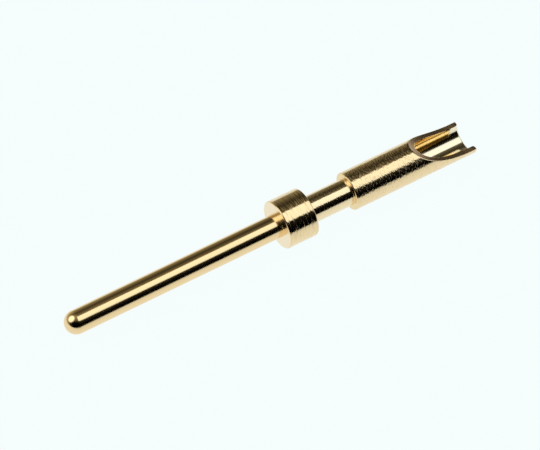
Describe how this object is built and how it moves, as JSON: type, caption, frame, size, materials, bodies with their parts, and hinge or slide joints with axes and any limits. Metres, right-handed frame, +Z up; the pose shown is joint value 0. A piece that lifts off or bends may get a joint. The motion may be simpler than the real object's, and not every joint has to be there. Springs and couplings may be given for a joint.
{
  "type": "solder cup pin contact",
  "caption": "Gold-plated turned pin contact for a circular connector, with a round-nosed pin, a retention collar, a neck and a scooped solder cup for the wire.",
  "frame": {"origin": "on the contact's axis, at the collar's seating face towards the pin", "axes": "+X along the axis from the pin's nose to the open end of the cup, +Z up, out of the cup's scoop, with the axis level"},
  "size_m": [0.019, 0.002, 0.002],
  "materials": {
    "gold_plate": "bright gold plating over turned brass"
  },
  "bodies": {
    "root": {"contact": "gold_plate"}
  },
  "joints": []
}
